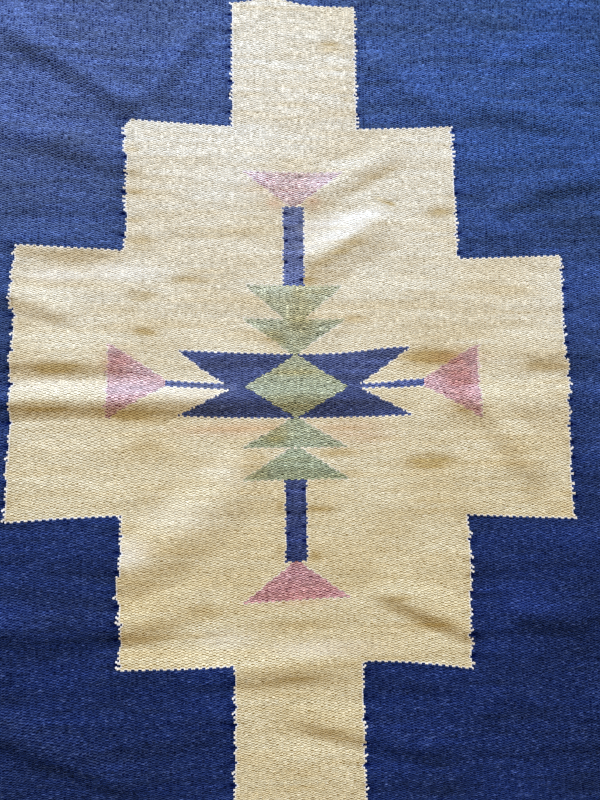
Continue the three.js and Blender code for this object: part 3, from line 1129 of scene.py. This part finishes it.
def make_underside():
    rows = BEAD_ROWS + 1
    cols = WARP_ENDS + 1
    facet = slice(0, None, 2)
    under = np.stack([grid[facet, facet].ravel() for grid in (face_x, face_y, underside_z)], -1)
    flat = np.stack([grid[facet, facet].ravel() for grid in (even_a, even_b)], -1)
    count = len(under)
    corner = (np.arange(rows - 1)[:, None] * cols + np.arange(cols - 1)[None, :]).ravel()
    facets = np.stack([corner, corner + cols, corner + cols + 1, corner + 1], 1)
    wool = chart(corner % cols + 0.5 - WARP_ENDS / 2, corner // cols + 0.5 - BEAD_ROWS / 2)

    edge_rows, edge_cols = boundary_indices(2 * BEAD_ROWS + 1, 2 * WARP_ENDS + 1).T
    rings, flat_rings = rim_rings(edge_rows, edge_cols)
    around = len(edge_rows)
    here = np.arange(around)
    there = np.roll(here, -1)
    rim_faces = []
    for ring in range(RIM_RINGS):
        upper = count + ring * around
        lower = upper + around
        rim_faces.append(np.stack([upper + here, lower + here, lower + there, upper + there], 1))
    edge_warp = np.clip(edge_cols // 2, 0, WARP_ENDS - 1)
    edge_bead = np.clip(edge_rows // 2, 0, BEAD_ROWS - 1)
    edge_wool = chart(edge_warp + 0.5 - WARP_ENDS / 2, edge_bead + 0.5 - BEAD_ROWS / 2)

    points = np.concatenate([under] + rings) * MM
    quads = np.concatenate([facets] + rim_faces)
    uv = flat_uv(np.concatenate([flat] + flat_rings))
    piece = mesh_piece("kilim_underside_and_edge", points, quads, uv)
    for wool_name in WOOLS:
        piece.data.materials.append(WOOL_LOOKS[wool_name])
    indices = np.concatenate([wool] + [edge_wool] * RIM_RINGS)
    piece.data.polygons.foreach_set("material_index", indices.astype(np.int32))
    for name, values in FACE_ATTRIBUTES.items():
        under_values = values[facet, facet].ravel()
        edge_values = values[edge_rows, edge_cols]
        if name == "pile":
            under_values = np.full(count, UNDER_PILE)
            edge_values = RIM_PILE + RIM_PILE_ADDED * edge_values
        if name == "join":
            under_values = UNDER_JOIN * under_values
        add_attribute(piece, name, np.concatenate([under_values] + [edge_values] * (RIM_RINGS + 1)))
    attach(piece, "root")
    return piece


underside = make_underside()
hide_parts("kilim_cloth")

# The floor, lights and camera


def make_floor():
    bpy.ops.mesh.primitive_plane_add(size=FLOOR_SIZE, location=(0, 0, FLOOR_Z))
    floor = bpy.context.object
    floor.name = "pale_floor"
    pale = bpy.data.materials.new("pale matt floor")
    pale.use_nodes = True
    surface = pale.node_tree.nodes["Principled BSDF"]
    surface.inputs["Base Color"].default_value = linear("#e4e2de")
    surface.inputs["Roughness"].default_value = 0.9
    floor.data.materials.append(pale)


def soft_light(name, place, size, power, colour, seen_in_gloss):
    """A rectangular light that faces the middle of the cloth."""
    lamp = bpy.data.lights.new(name, "AREA")
    lamp.shape = "RECTANGLE"
    lamp.size, lamp.size_y = size
    lamp.energy = power
    lamp.color = linear(colour)[:3]
    holder = bpy.data.objects.new(name, lamp)
    holder.location = place
    holder.rotation_euler = (-Vector(place)).to_track_quat("-Z", "Y").to_euler()
    holder.visible_glossy = seen_in_gloss
    bpy.context.scene.collection.objects.link(holder)


make_floor()
for light in LIGHTS:
    soft_light(*light)

world = bpy.data.worlds.new("soft room")
world.use_nodes = True
world.node_tree.nodes["Background"].inputs["Color"].default_value = linear(ROOM_COLOUR)
world.node_tree.nodes["Background"].inputs["Strength"].default_value = ROOM_STRENGTH
bpy.context.scene.world = world

camera_data = bpy.data.cameras.new("camera")
camera_data.lens = LENS
camera_data.sensor_width = SENSOR
camera = bpy.data.objects.new("camera", camera_data)
tilt = Euler([math.radians(angle) for angle in CAMERA_TILT], "XYZ")
camera.matrix_world = tilt.to_matrix().transposed().to_4x4()
camera.location = CAMERA_PLACE
bpy.context.scene.collection.objects.link(camera)
bpy.context.scene.camera = camera

bpy.context.scene.view_settings.view_transform = "Standard"
